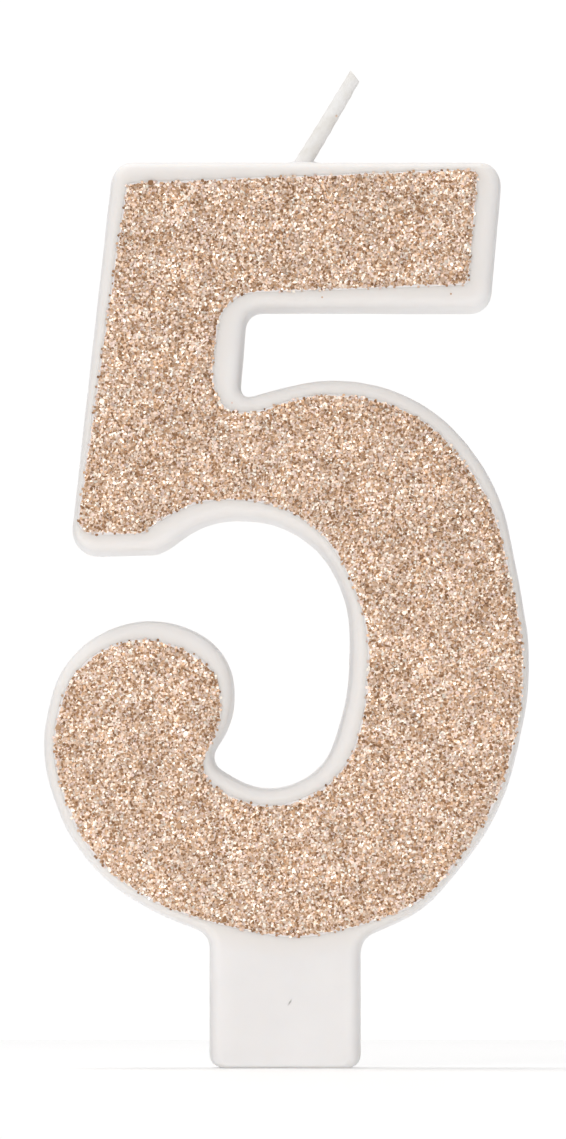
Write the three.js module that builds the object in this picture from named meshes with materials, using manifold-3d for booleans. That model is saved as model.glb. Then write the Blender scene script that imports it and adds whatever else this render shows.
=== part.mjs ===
// Number birthday candle, the numeral 5: a cast wax numeral with the tab that goes into the cake, a glitter
// coat glued to its front face, and a waxed, plaited cotton wick set in a blind channel.
// Millimetres, +Z up. The front face looks along -Y. The origin is the centre of the tab's bottom face.
import * as THREE from 'three';
import { mergeVertices } from 'three/addons/utils/BufferGeometryUtils.js';
import Module from 'manifold-3d';

// ---- Depth: the layers from front to back ----
const THICKNESS = 11.0;
const GLITTER_DEPTH = 0.28;
const FILM_DEPTH = 0.08;
const LAYER_GAP = 0.02;
const BACK_Y = THICKNESS / 2;
const GLITTER_FRONT_Y = -THICKNESS / 2;
const GLITTER_BACK_Y = GLITTER_FRONT_Y + GLITTER_DEPTH;
const FILM_FRONT_Y = GLITTER_BACK_Y + LAYER_GAP;
const FILM_BACK_Y = FILM_FRONT_Y + FILM_DEPTH;
const WAX_FRONT_Y = FILM_BACK_Y + LAYER_GAP;

// ---- Edges of the casting ----
const DRAFT = 0.3;               // the side walls lean in by this much from back to front
const FRONT_ROUND = 1.1;         // rounding between the walls and the front face
const BACK_ROUND = 0.2;          // small break on the back edge
const GLITTER_TO_EDGE = 0.12;    // wax face left outside the glitter where its border is narrow
const FILM_BEYOND_GLITTER = 0.05;
const FOOT_ROUND = 0.4;          // the tab's bottom is cut square, with only this rounding
const ROUND_STEPS = 4;

// ---- Heights and widths of the numeral ----
const TOP_Z = 90.3;
const BAR_UNDER_Z = 75.3;
const BAR_RIGHT_X = 21.8;
const BAR_LEFT_X = -17.2;
const FOOT_Z = 50.95;
const FOOT_LEFT_X = -21.6;
const NOTCH_X = -3.8;
const TAB_HALF_WIDTH = 7.55;
const TAB_TOP_Z = 13.0;
const GLITTER_BOTTOM_Z = 13.4;
const SHARPEST_FILLET = 0.15;
const CHORD_SAG = 0.05;          // how far a facet may cut inside its arc

// ---- Wick ----
const COAT_RADIUS = 0.76;
const COAT_BORE_RADIUS = 0.62;
const CHANNEL_RADIUS = 0.95;
const CHANNEL_END_GAP = 0.3;
const STRAND_RADIUS = 0.155;
const PLAIT_HALF_WIDTH = 0.4;
const PLAIT_HALF_DEPTH = 0.2;
const PLAIT_LAY = 4.0;           // length of one full turn of the plait
const STRAND_COUNT = 3;
const STRAND_END_GAP = 0.3;      // the strands stop this far above the coat's lower end
const STRAND_SIDES = 6;
const STEPS_PER_LAY = 9;
const COAT_SIDES = 12;
const ROUTE_STEPS = 24;
const TIP_CUT = { x: 6.95, z: 98.85, normalX: 0.8, normalZ: 0.6 };
const CUTTER_SIZE = 8;

// ---- Outline ----
// Corners of the polygon that the outline's arcs are tangent to, anticlockwise as seen from the front.
// Each corner has its fillet radius and the width of the wax border along the edge that leaves it: one
// number, or two where the border differs between the edge's start and its end. The rounding of the front
// edge is never wider than the border, so the glitter always lies on the flat face.
const corner = (x, z, radius, border) => ({
  x,
  z,
  radius,
  border: [border].flat(),
});
const TAB = [
  { ...corner(-TAB_HALF_WIDTH, 0, 1.2, 0.5), foot: true },
  corner(TAB_HALF_WIDTH, 0, 1.2, 1.5),
];
const BOWL_OUTSIDE = [
  corner(TAB_HALF_WIDTH, TAB_TOP_Z - 0.2, 2.0, 1.1),
  corner(14.0, 15.7, 12, [0.6, 1.15]),
  corner(21.7, 25.0, 24, 0.7),
  corner(25.0, 39.8, 30, [0.7, 1.25]),
  corner(21.5, 58.2, 20, 1.7),
  corner(13.8, 67.6, 16.5, 1.85),
  corner(3.7, 68.9, 17, [1.6, 2.0]),
];
const BAR = [
  corner(-4.5, 66.7, 0.8, 2.85),
  corner(NOTCH_X, BAR_UNDER_Z, 1.6, [1.85, 2.75]),
  corner(20.5, BAR_UNDER_Z, 2.2, 2.6),
  corner(BAR_RIGHT_X, TOP_Z, 2.2, [1.0, 2.55]),
];
const SPINE = [
  corner(BAR_LEFT_X, TOP_Z, 2.1, [1.9, 0.6]),
  corner(FOOT_LEFT_X, FOOT_Z, 2.7, [2.25, 1.95]),
  corner(-12.4, 51.15, 3.6, 2.7),
];
const COUNTER = [
  corner(-7.7, 54.6, 9, 2.0),
  corner(2.5, 54.4, 10, 1.2),
  corner(6.5, 45.8, 13.5, 1.9),
  corner(6.4, 37.1, 22, 2.25),
  corner(3.9, 29.5, 6.5, 1.9),
  corner(-2.1, 27.2, 6.5, 1.95),
];
const TERMINAL = [
  corner(-7.7, 30.5, 1.5, [0.6, 0.8]),
  corner(-4.9, 34.8, 8.7, 1.5),
  corner(-5.2, 41.8, 6.8, 2.4),
  corner(-13.4, 45.6, 10, 1.9),
  corner(-22.4, 41.5, 10, 1.3),
  corner(-24.6, 31.3, 14, [1.35, 1.15]),
  corner(-21.0, 20.6, 18, 1.05),
  corner(-13.2, 15.4, 26, [0.6, 1.1]),
];
const TAB_SHOULDER = [corner(-TAB_HALF_WIDTH, TAB_TOP_Z + 0.3, 1.9, 1.5)];
const NUMERAL = [...BOWL_OUTSIDE.slice(1), ...BAR, ...SPINE, ...COUNTER, ...TERMINAL];
const CASTING_OUTLINE = [...TAB, BOWL_OUTSIDE[0], ...NUMERAL, ...TAB_SHOULDER];
// The glitter stops in one shallow curve above the tab.
const COATED_OUTLINE = [corner(1.0, GLITTER_BOTTOM_Z - 1.8, 18, [0.85, 0.6]), ...NUMERAL];

// Start and end of each edge of a polygon of corners, moved inward by insetOf(edge) = [at start, at end].
function insetEdges(corners, insetOf) {
  return corners.map((from, i) => {
    const to = corners[(i + 1) % corners.length];
    const start = new THREE.Vector2(from.x, from.z);
    const end = new THREE.Vector2(to.x, to.z);
    const along = end.clone().sub(start).normalize();
    const inward = new THREE.Vector2(-along.y, along.x);
    const inset = insetOf(from);
    start.addScaledVector(inward, inset[0]);
    end.addScaledVector(inward, inset[inset.length - 1]);
    return { start, end, along: end.clone().sub(start).normalize(), inset };
  });
}

function crossing(edgeIn, edgeOut) {
  const between = edgeOut.start.clone().sub(edgeIn.start);
  const reach = between.cross(edgeOut.along) / edgeIn.along.cross(edgeOut.along);
  return edgeIn.start.clone().addScaledVector(edgeIn.along, reach);
}

// The rounded outline, moved inward. Every inset of one outline has the same number of points.
function roundedOutline(corners, insetOf) {
  const edges = insetEdges(corners, insetOf);
  const count = corners.length;
  const places = corners.map((_, i) => crossing(edges[(i + count - 1) % count], edges[i]));
  const plain = insetEdges(corners, () => [0]);
  const fillets = corners.map((item, i) => {
    const before = (i + count - 1) % count;
    const along = edges[before].along;
    const turn = Math.atan2(along.cross(edges[i].along), along.dot(edges[i].along));
    const plainTurn = Math.acos(plain[before].along.dot(plain[i].along));
    const inset = (edges[before].inset.at(-1) + edges[i].inset[0]) / 2;
    const radius = Math.max(SHARPEST_FILLET, item.radius - Math.sign(turn) * inset);
    const tangent = radius * Math.tan(Math.abs(turn) / 2);
    const facetAngle = 2 * Math.acos(1 - CHORD_SAG / item.radius);
    const steps = Math.max(2, Math.ceil(plainTurn / facetAngle));
    return { turn, radius, tangent, steps, along };
  });
  // A fillet never takes more of an edge than its neighbour leaves.
  const lengths = places.map((place, i) => place.distanceTo(places[(i + 1) % count]));
  const room = fillets.map((fillet, i) => {
    const next = fillets[(i + 1) % count];
    return Math.min(1, lengths[i] / (fillet.tangent + next.tangent));
  });
  return fillets.flatMap((fillet, i) => {
    const scale = Math.min(room[i], room[(i + count - 1) % count]);
    const radius = fillet.radius * scale;
    const side = Math.sign(fillet.turn);
    const heading = fillet.along.angle();
    const begin = places[i].clone().addScaledVector(fillet.along, -fillet.tangent * scale);
    const centre = begin.add(new THREE.Vector2(-Math.sin(heading), Math.cos(heading))
      .multiplyScalar(side * radius));
    return Array.from({ length: fillet.steps + 1 }, (_, step) => {
      const angle = heading + (fillet.turn * step) / fillet.steps;
      return new THREE.Vector2(Math.sin(angle), -Math.cos(angle)).multiplyScalar(side * radius).add(centre);
    });
  });
}

// A closed body through outlines that stand one behind the other, from front to back.
function loft(rings) {
  const size = rings[0].points.length;
  const positions = rings.flatMap(({ y, points }) => points.flatMap((point) => [point.x, y, point.y]));
  const index = [];
  for (let ring = 0; ring + 1 < rings.length; ring += 1) {
    for (let i = 0; i < size; i += 1) {
      const near = ring * size + i;
      const nearNext = ring * size + ((i + 1) % size);
      index.push(near, near + size, nearNext);
      index.push(nearNext, near + size, nearNext + size);
    }
  }
  const back = (rings.length - 1) * size;
  for (const [a, b, c] of THREE.ShapeUtils.triangulateShape(rings[0].points, [])) {
    index.push(a, b, c);
  }
  for (const [a, b, c] of THREE.ShapeUtils.triangulateShape(rings.at(-1).points, [])) {
    index.push(back + a, back + c, back + b);
  }
  const geometry = new THREE.BufferGeometry();
  geometry.setAttribute('position', new THREE.Float32BufferAttribute(positions, 3));
  geometry.setIndex(index);
  return geometry;
}

// ---- Wick route: a curve in the plane halfway through the thickness ----
const WICK_ROUTE = new THREE.CatmullRomCurve3([
  new THREE.Vector3(-13.4, 0, 55.0),
  new THREE.Vector3(-12.4, 0, 63.0),
  new THREE.Vector3(-9.2, 0, 72.0),
  new THREE.Vector3(-3.8, 0, 81.5),
  new THREE.Vector3(1.85, 0, TOP_Z),
  new THREE.Vector3(5.05, 0, 95.6),
  new THREE.Vector3(7.15, 0, 99.2),
  new THREE.Vector3(8.45, 0, 101.5),
]);
const ROUTE_LENGTH = WICK_ROUTE.getLength();

class RouteStretch extends THREE.Curve {
  constructor(from, to) {
    super();
    this.from = from;
    this.to = to;
  }

  getPoint(t) {
    const distance = this.from + (this.to - this.from) * t;
    const point = WICK_ROUTE.getPointAt(THREE.MathUtils.clamp(distance / ROUTE_LENGTH, 0, 1));
    if (distance < 0) {
      point.addScaledVector(WICK_ROUTE.getTangentAt(0), distance);
    }
    return point;
  }
}

// One strand of the three-strand plait: it sways across the wick and crosses the others front and back.
class PlaitStrand extends RouteStretch {
  constructor(from, to, phase) {
    super(from, to);
    this.phase = phase;
  }

  getPoint(t) {
    const centre = super.getPoint(t);
    const distance = this.from + (this.to - this.from) * t;
    const tangent = WICK_ROUTE.getTangentAt(THREE.MathUtils.clamp(distance / ROUTE_LENGTH, 0, 1));
    const across = new THREE.Vector3(-tangent.z, 0, tangent.x);
    const angle = (2 * Math.PI * distance) / PLAIT_LAY + this.phase;
    centre.addScaledVector(across, PLAIT_HALF_WIDTH * Math.sin(angle));
    centre.y += PLAIT_HALF_DEPTH * Math.sin(2 * angle);
    return centre;
  }
}

function circle(radius, sides) {
  return Array.from({ length: sides }, (_, i) => {
    const angle = (2 * Math.PI * i) / sides;
    return new THREE.Vector2(radius * Math.cos(angle), radius * Math.sin(angle));
  });
}

function sweep(shape, path, steps) {
  return new THREE.ExtrudeGeometry(shape, { steps, extrudePath: path, bevelEnabled: false });
}

// ---- Booleans ----
const wasm = await Module();
wasm.setup();

function toSolid(geometry) {
  const bare = geometry.clone();
  bare.deleteAttribute('normal');
  bare.deleteAttribute('uv');
  const merged = mergeVertices(bare, 1e-4);
  return new wasm.Manifold(new wasm.Mesh({
    numProp: 3,
    vertProperties: merged.attributes.position.array,
    triVerts: Uint32Array.from(merged.index.array),
  }));
}

function toGeometry(solid) {
  const mesh = solid.getMesh();
  const geometry = new THREE.BufferGeometry();
  geometry.setAttribute('position', new THREE.BufferAttribute(mesh.vertProperties, 3));
  geometry.setIndex(new THREE.BufferAttribute(mesh.triVerts, 1));
  return geometry;
}

// The slanting snip at the wick's tip.
function tipCutter() {
  const box = new THREE.BoxGeometry(CUTTER_SIZE, CUTTER_SIZE, CUTTER_SIZE);
  box.rotateY(Math.atan2(TIP_CUT.normalX, TIP_CUT.normalZ));
  box.translate(
    TIP_CUT.x + (TIP_CUT.normalX * CUTTER_SIZE) / 2,
    0,
    TIP_CUT.z + (TIP_CUT.normalZ * CUTTER_SIZE) / 2,
  );
  return toSolid(box);
}

// ---- Pieces ----
function waxBody() {
  const faceInset = (edge, border) => Math.min(FRONT_ROUND + DRAFT, border - GLITTER_TO_EDGE);
  const rings = [];
  // From the front face over the rounded edge to the side wall.
  for (let step = 0; step <= ROUND_STEPS; step += 1) {
    const angle = (step / ROUND_STEPS) * (Math.PI / 2);
    const openness = 1 - Math.sin(angle);
    const y = WAX_FRONT_Y + FRONT_ROUND * (1 - Math.cos(angle));
    rings.push({
      y,
      points: roundedOutline(CASTING_OUTLINE, (edge) => {
        if (edge.foot) {
          return [FOOT_ROUND * openness];
        }
        return edge.border.map((border) => DRAFT + (faceInset(edge, border) - DRAFT) * openness);
      }),
    });
  }
  rings.push({
    y: BACK_Y - BACK_ROUND,
    points: roundedOutline(CASTING_OUTLINE, () => [0]),
  });
  rings.push({
    y: BACK_Y,
    points: roundedOutline(CASTING_OUTLINE, () => [BACK_ROUND]),
  });
  const channel = sweep(
    new THREE.Shape(circle(CHANNEL_RADIUS, COAT_SIDES)),
    new RouteStretch(-CHANNEL_END_GAP, ROUTE_LENGTH),
    ROUTE_STEPS,
  );
  return toGeometry(toSolid(loft(rings)).subtract(toSolid(channel)));
}

function coatLayer(frontY, backY, extraInset) {
  const outline = roundedOutline(COATED_OUTLINE, (edge) => edge.border.map((width) => width + extraInset));
  return loft([{ y: frontY, points: outline }, { y: backY, points: outline }]);
}

function wickStrand(number) {
  const phase = (2 * Math.PI * number) / STRAND_COUNT;
  const path = new PlaitStrand(STRAND_END_GAP, ROUTE_LENGTH, phase);
  const steps = Math.round((ROUTE_LENGTH / PLAIT_LAY) * STEPS_PER_LAY);
  const strand = sweep(new THREE.Shape(circle(STRAND_RADIUS, STRAND_SIDES)), path, steps);
  return toGeometry(toSolid(strand).subtract(tipCutter()));
}

function wickWaxCoat() {
  const section = new THREE.Shape(circle(COAT_RADIUS, COAT_SIDES));
  section.holes.push(new THREE.Path(circle(COAT_BORE_RADIUS, COAT_SIDES)));
  const coat = sweep(section, new RouteStretch(0, ROUTE_LENGTH), ROUTE_STEPS);
  return toGeometry(toSolid(coat).subtract(tipCutter()));
}

// ---- Assembly ----
const wax = new THREE.MeshStandardMaterial({ color: '#efebe8', roughness: 0.45, metalness: 0 });
const glue = new THREE.MeshStandardMaterial({ color: '#d8c3b5', roughness: 0.25, metalness: 0 });
const glitter = new THREE.MeshStandardMaterial({ color: '#cfb19d', roughness: 0.35, metalness: 0.7 });
const cotton = new THREE.MeshStandardMaterial({ color: '#efe9dd', roughness: 0.9, metalness: 0 });
const wickWax = new THREE.MeshStandardMaterial({ color: '#eee9e1', roughness: 0.5, metalness: 0 });

const candle = new THREE.Group();
function place(name, geometry, material) {
  const mesh = new THREE.Mesh(geometry, material);
  mesh.name = name;
  candle.add(mesh);
}

place('wax_body', waxBody(), wax);
place('adhesive_film', coatLayer(FILM_FRONT_Y, FILM_BACK_Y, -FILM_BEYOND_GLITTER), glue);
place('glitter_layer', coatLayer(GLITTER_FRONT_Y, GLITTER_BACK_Y, 0), glitter);
for (let number = 0; number < STRAND_COUNT; number += 1) {
  place(`wick_strand_${number + 1}`, wickStrand(number), cotton);
}
place('wick_wax_coat', wickWaxCoat(), wickWax);

export default candle;
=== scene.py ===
import math

import bmesh
import bpy
import numpy as np
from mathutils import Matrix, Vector, noise
from mathutils.geometry import delaunay_2d_cdt


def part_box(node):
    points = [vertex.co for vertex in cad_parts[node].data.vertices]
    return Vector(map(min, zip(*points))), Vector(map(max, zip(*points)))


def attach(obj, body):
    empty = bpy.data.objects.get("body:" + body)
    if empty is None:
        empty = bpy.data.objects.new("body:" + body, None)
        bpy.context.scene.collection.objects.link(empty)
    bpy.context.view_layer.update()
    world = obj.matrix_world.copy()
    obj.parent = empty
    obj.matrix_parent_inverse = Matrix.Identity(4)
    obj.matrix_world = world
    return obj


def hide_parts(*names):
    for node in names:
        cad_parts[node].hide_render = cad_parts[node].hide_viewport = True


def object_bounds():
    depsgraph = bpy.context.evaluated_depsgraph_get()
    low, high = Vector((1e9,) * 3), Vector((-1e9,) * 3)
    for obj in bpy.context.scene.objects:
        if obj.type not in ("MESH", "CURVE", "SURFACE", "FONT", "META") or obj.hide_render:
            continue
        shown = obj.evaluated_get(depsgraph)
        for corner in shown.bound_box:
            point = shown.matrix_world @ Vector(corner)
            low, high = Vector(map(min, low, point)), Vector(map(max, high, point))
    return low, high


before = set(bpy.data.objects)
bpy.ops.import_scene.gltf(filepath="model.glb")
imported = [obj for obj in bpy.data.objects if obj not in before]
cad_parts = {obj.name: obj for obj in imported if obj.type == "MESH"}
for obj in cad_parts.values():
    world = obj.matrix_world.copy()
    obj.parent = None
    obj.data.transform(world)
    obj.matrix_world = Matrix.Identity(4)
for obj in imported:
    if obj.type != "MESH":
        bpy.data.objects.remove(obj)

MM = 0.001
ROOT = "root"
cad_low, cad_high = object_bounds()
wax_low, wax_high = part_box("wax_body")
bed_low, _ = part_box("glitter_layer")
film_low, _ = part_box("adhesive_film")
SEED = 51
random = np.random.default_rng(SEED)
noise.seed_set(SEED)              # without a seed, Blender's vector noise changes from run to run

# ---- Camera and light ----
VIEW_HEIGHT = 113.9 * MM          # what the picture is tall, at the casting's widest outline
VIEW_SIDE_OFFSET = -0.35 * MM     # from the middle of the casting to the middle of the picture
CAMERA_DISTANCE = 1.5
CAMERA_ELEVATION = math.radians(-1.3)
CAMERA_AZIMUTH = math.radians(0.0)
SENSOR = 36.0

ROOM_LIGHT = (0.56, 0.53)         # radiance of the pale room, on the left and on the right
ROOM_COLOUR = (1.0, 0.99, 0.985)
BACKDROP_LIGHT = 1.03             # radiance of the lit white backdrop, behind the object
BACKDROP_FROM = 0.93              # cosine of the angle from straight behind where the backdrop fades in
BACKDROP_FULL = 0.99              # and of the angle where it is fully lit
FLOOR_RADIUS = 0.32
FLOOR_SIDES = 128
FLOOR_COLOUR = (0.93, 0.93, 0.93)
FLOOR_ROUGHNESS = 0.5
FLOOR_GLOW = 0.14                 # the table top is lit from below as well
# name: (place, diameter, power)
SOFT_BOXES = {
    "key": ((-0.25, -1.05, 0.45), 0.80, 4.1),
    "top": ((-0.15, 0.10, 0.90), 0.50, 3.2),
}

# ---- Meshing ----
STRAIGHT_SHARE = 0.72             # of the two stretches at a point, one with more than this is straight
PAIRING_EASING = 0.5 * MM         # how gradually one outline's points pair up with another's
GRID_SHAKE = 0.3                  # shares of a grid's step: how far its points are moved at random,
GRID_MARGIN = 0.6                 # how far they keep from a face's edge,
PATCH_MARGIN = 0.3                # and from a finer patch

# ---- Casting ----
OUTLINE_STEP = 0.38 * MM
OUTLINE_SOFTENING = 0.22 * MM
FRONT_ROUNDING = 1.1 * MM
BACK_ROUNDING = 0.2 * MM
EDGE_STEPS = 10
WALL_STEPS = 10
BACK_STEPS = 3
FACE_GRID = 0.9 * MM
SURFACE_WANDER = 0.035 * MM       # the casting's surface is uneven by this much
WIDE_WAVE = 4.5 * MM              # length of the longer unevenness, and of the shorter one
SHORT_WAVE = 1.6 * MM
BACK_SINK = 0.15 * MM             # how far the back face sank as the wax cooled
BACK_SINK_RIM = 3.0 * MM          # the sink is full this far in from the edge
COLLAR_HEIGHT = 0.28 * MM         # how far the wax climbs up the wick
COLLAR_SPREAD = 0.45 * MM
COLLAR_REACH = 2.2 * MM           # the mesh is finer this near the wick,
COLLAR_BELOW = 2.0 * MM           # down to this far below the top
COLLAR_DEPTH = 3.0 * MM           # the wax climbs only this near the middle of the casting's depth
ON_FACE = 0.01 * MM               # nearer than this to the front or back plane counts as on it

WAX_COLOUR = (0.86, 0.84, 0.83)
# painted shade: the wax is coloured this dark in the nick's gouge, most where it is deepest
NICK_PAINTED_SHADE = (0.42, 0.40, 0.39)
DUST_AND_SHADE_COLOUR = (0.82, 0.775, 0.735)  # of the wax next to the glitter: glitter dust on it and painted shade
DUST_AND_SHADE_WIDTH = 2.4 * MM            # it fades out over this width, and over this depth
DUST_AND_SHADE_DEPTH = 5.0 * MM

# ---- Nick in the tab's front ----
NICK_PLACE = (0.5 * MM, 6.55 * MM)
NICK_SIZE = (0.07 * MM, 0.26 * MM)  # half width and half length
NICK_LEAN = math.radians(-32)
NICK_DEPTH = 0.16 * MM
NICK_REACH = 2.2                  # the fine patch reaches this many half lengths out
NICK_GRID = 0.045 * MM
NICK_GRID_SHAKE = 0.2

# ---- Glitter ----
GLUE_STEP = 0.3 * MM              # spacing of the points round the glue's outline,
FLAKE_STEP = 0.2 * MM             # and round the flakes'
COAT_EASING = 0.3 * MM            # how much the outline is rounded
SINK = 0.01 * MM                  # each layer reaches this far into the one below
FACET_SIZE = 0.235 * MM
FACET_MARGIN = 0.55 * FACET_SIZE  # the facets' inner corners keep this far from the coat's edge
FACET_LEVEL = 0.10 * MM           # the facets' mean depth behind the coat's front
FACET_JITTER = 0.055 * MM
LUMPINESS = (0.03 * MM, 1.6 * MM)  # height and length of the waves in the bed
RIM_JITTER = 0.05 * MM
FLAKE_COUNT = 18000
FLAKE_RADIUS = (0.11 * MM, 0.17 * MM)
FLAKE_THICKNESS = 0.016 * MM
FLAKE_SIDES = 6
FLAKE_TILT = math.radians(16)
FLAKE_DEPTH = 0.06 * MM           # the upper flakes lie within this depth
LUMP_COUNT = 46                   # larger pieces among the flakes
LUMP_RADIUS = (0.2 * MM, 0.34 * MM)
LUMP_TILT = math.radians(9)
FRINGE_COUNT = 420                # flakes that stick out past the coat's edge
FRINGE_REACH = 0.20 * MM
FRINGE_LIFT = (0.05 * MM, 0.14 * MM)
FRINGE_TILT = 0.22
STRAY_COUNT = 5                   # single flakes on the bare wax
STRAY_REACH = (0.4 * MM, 1.1 * MM)
STRAY_RADIUS = (0.06 * MM, 0.11 * MM)
STICKS_WITHIN = 1.5 * MM          # flakes stick to the wax only this near its front
STICK_OUT = 2 * FLAKE_THICKNESS   # and their middles stand off it by this much
RAY_START = 5 * MM                # how far in front of the wax the search for its surface begins
WICK_FLAKE_RADIUS = 0.14 * MM
RAGGED_COARSE = 0.13 * MM
RAGGED_FINE = 0.10 * MM
RAGGED_WAVE = 2.2 * MM
RAGGED_LAYER, GLUE_LAYER, BED_LAYER = 7.1, 2.3, 0.4  # which noise pattern each one takes
RIM_DROP = 0.2 * MM               # the coat thins towards its edge
RIM_WIDTH = 0.4 * MM
GLUE_RUN_OUT = (0.0, 0.07 * MM)   # how far the glue shows past the flakes
GLUE_WAVE = 2.8 * MM
GLUE_NOISE_RANGE = (-0.4, 0.4)
GLUE_TAPER = 0.12 * MM
GLUE_STEPS = 4

# ---- Wick: the same route as the CAD model's ----
WICK_ROUTE = np.array([
    (-13.4, 55.0), (-12.4, 63.0), (-9.2, 72.0), (-3.8, 81.5),
    (1.85, 90.3), (5.05, 95.6), (7.15, 99.2), (8.45, 101.5),
]) * MM
SNIP_PLACE = np.array((6.95, 98.85)) * MM
SNIP_NORMAL = np.array((0.8, 0.6))
WICK_STEP = 0.25 * MM
SPAN_STEPS = 80                   # points on the curve between two places of the route
FINE_COUNT, COARSE_COUNT = 1200, 400
COAT_RADII = (0.80 * MM, 0.65 * MM)  # where the wick leaves the wax, and at the tip
COAT_SIDES = 36
COAT_RELIEF = 0.045 * MM          # how much the strands show through the wax
COAT_RELIEF_ANGLE = 0.55          # how far a strand's ridge spreads round the wick, in radians
COAT_ROUGHNESS = 0.02 * MM
COAT_ROUGH_CELL = 1.1 * MM
SNIP_RINGS = 10
SNIP_CLEARANCE = 0.2 * MM         # the coat's rings begin to slant this far below the snip
SNIP_EDGE = 0.04 * MM
# rings on the cut end, from its edge inwards: (share of the radius, how deep it is sunk)
SNIP_FACE = ((0.95, 0.0), (0.86, 0.0), (0.80, 0.05 * MM), (0.72, 0.13 * MM), (0.4, 0.15 * MM))
STRANDS = 3
STRAND_SIDES = 21
STRAND_RADIUS = 0.185 * MM
STRAND_FIBRES = 7
FIBRE_RELIEF = 0.13
FIBRE_LAY = 1.4 * MM              # a fibre turns by one radian round its strand in this length
PLAIT_WIDTH = 0.36 * MM
PLAIT_DEPTH = 0.2 * MM
PLAIT_LAY = 4.0 * MM
STRANDS_FROM = 0.3 * MM
STRAND_SLANT = 1.0 * MM           # a strand's rings turn to the snip's slant over this length
STRAND_SLANT_RINGS = 8
WICK_FLAKE_AT = 44.6 * MM         # along the wick
WICK_FLAKE_OUT = 1.03             # its middle's distance from the wick's, in wick radii
WICK_FLAKE_BEARING = math.radians(52)  # from straight to the right round to the front


# ---------------------------------------------------------------- outlines from the CAD nodes
def level_loop(node, depth):
    """The closed line, as rows of x and z, along which a CAD node's surface turns at that depth."""
    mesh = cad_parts[node].data
    corners = [tuple(round(value, 7) for value in vertex.co) for vertex in mesh.vertices]
    level = {corner for corner in corners if abs(corner[1] - depth) < 2e-6}
    faces_at = {}
    for polygon in mesh.polygons:
        places = [corners[index] for index in polygon.vertices]
        flat = all(place in level for place in places)
        for start, end in zip(places, places[1:] + places[:1]):
            if start in level and end in level and start != end:
                faces_at.setdefault(frozenset((start, end)), []).append(flat)
    beside = {}
    for edge, flats in faces_at.items():
        if not all(flats):
            start, end = edge
            beside.setdefault(start, []).append(end)
            beside.setdefault(end, []).append(start)
    first = min(beside)
    loop = [first]
    previous, current = None, first
    while True:
        following = next(place for place in beside[current] if place != previous)
        if following == first:
            break
        loop.append(following)
        previous, current = current, following
    points = np.array([(place[0], place[2]) for place in loop])
    after = np.roll(points, -1, axis=0)
    area = np.sum(points[:, 0] * after[:, 1] - points[:, 1] * after[:, 0])
    return points if area > 0 else points[::-1]


def curve_tangents(points):
    """Direction of the round line through the points; a long straight stretch keeps its own direction."""
    before = points - np.roll(points, 1, axis=0)
    after = np.roll(points, -1, axis=0) - points
    before_length = np.linalg.norm(before, axis=1)[:, None]
    after_length = np.linalg.norm(after, axis=1)[:, None]
    before = before / before_length
    after = after / after_length
    share = before_length / (before_length + after_length)
    share = np.where(share > STRAIGHT_SHARE, 0.0, np.where(share < 1 - STRAIGHT_SHARE, 1.0, share))
    tangent = before * (1 - share) + after * share
    return tangent / np.linalg.norm(tangent, axis=1)[:, None]


def on_curve(points, segment, along):
    """Places on the round line through the points, each on one segment at a share of its length."""
    tangent = curve_tangents(points)
    following = np.roll(points, -1, axis=0)
    length = np.linalg.norm(following - points, axis=1)[:, None]
    leaving = (tangent * length)[segment]
    arriving = (np.roll(tangent, -1, axis=0) * length)[segment]
    t = along[:, None]
    return (
        points[segment] * (2 * t**3 - 3 * t**2 + 1)
        + leaving * (t**3 - 2 * t**2 + t)
        + following[segment] * (3 * t**2 - 2 * t**3)
        + arriving * (t**3 - t**2)
    )


def even_places(points, step):
    """Segment numbers and shares that space places evenly along the closed line."""
    length = np.linalg.norm(np.roll(points, -1, axis=0) - points, axis=1)
    total = np.concatenate(([0.0], np.cumsum(length)))
    wanted = np.arange(0, total[-1], total[-1] / round(total[-1] / step))
    segment = np.clip(np.searchsorted(total, wanted, side="right") - 1, 0, len(points) - 1)
    return segment, (wanted - total[segment]) / length[segment]


def softened(values, spread, step):
    """Values along a closed line of even steps, eased over that distance."""
    count = max(1, int(3 * spread / step))
    shifts = range(-count, count + 1)
    weights = np.array([math.exp(-0.5 * (shift * step / spread) ** 2) for shift in shifts])
    total = sum(weight * np.roll(values, shift, axis=0) for weight, shift in zip(weights, shifts))
    return total / weights.sum()


def smooth_outline(node, depth, step, softening):
    """A CAD node's outline at a depth, as a round line of even steps with eased corners."""
    loop = level_loop(node, depth)
    return softened(on_curve(loop, *even_places(loop, step)), softening, step)


def inward(points):
    """Unit normals into an anticlockwise closed line."""
    along = np.roll(points, -1, axis=0) - np.roll(points, 1, axis=0)
    along = along / np.linalg.norm(along, axis=1)[:, None]
    return np.stack((-along[:, 1], along[:, 0]), axis=1)


def facing(points, loop, step):
    """Places on another closed line of even steps that face the points, kept in their order."""
    normals = inward(points)
    edge = np.roll(loop, -1, axis=0) - loop
    gap = loop[None] - points[:, None]
    turn = normals[:, None, 0] * edge[None, :, 1] - normals[:, None, 1] * edge[None, :, 0]
    turn = np.where(np.abs(turn) < 1e-12, 1e-12, turn)
    distance = (gap[..., 0] * edge[None, :, 1] - gap[..., 1] * edge[None, :, 0]) / turn
    share = (gap[..., 0] * normals[:, None, 1] - gap[..., 1] * normals[:, None, 0]) / turn
    distance = np.where((share >= 0) & (share <= 1), np.abs(distance), 1.0)
    nearest = np.argmin(distance, axis=1)
    count = len(loop)
    order = np.arange(len(points))
    place = nearest + share[order, nearest]
    even = order * count / len(points)
    lead = place - place[0] - even
    lead = lead - count * np.round(lead / count)
    lead = np.sort(lead + even) - even
    place = place[0] + even + softened(lead[:, None], PAIRING_EASING, step)[:, 0]
    whole = np.floor(place).astype(int)
    part = (place - whole)[:, None]
    return loop[whole % count] * (1 - part) + loop[(whole + 1) % count] * part


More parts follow.
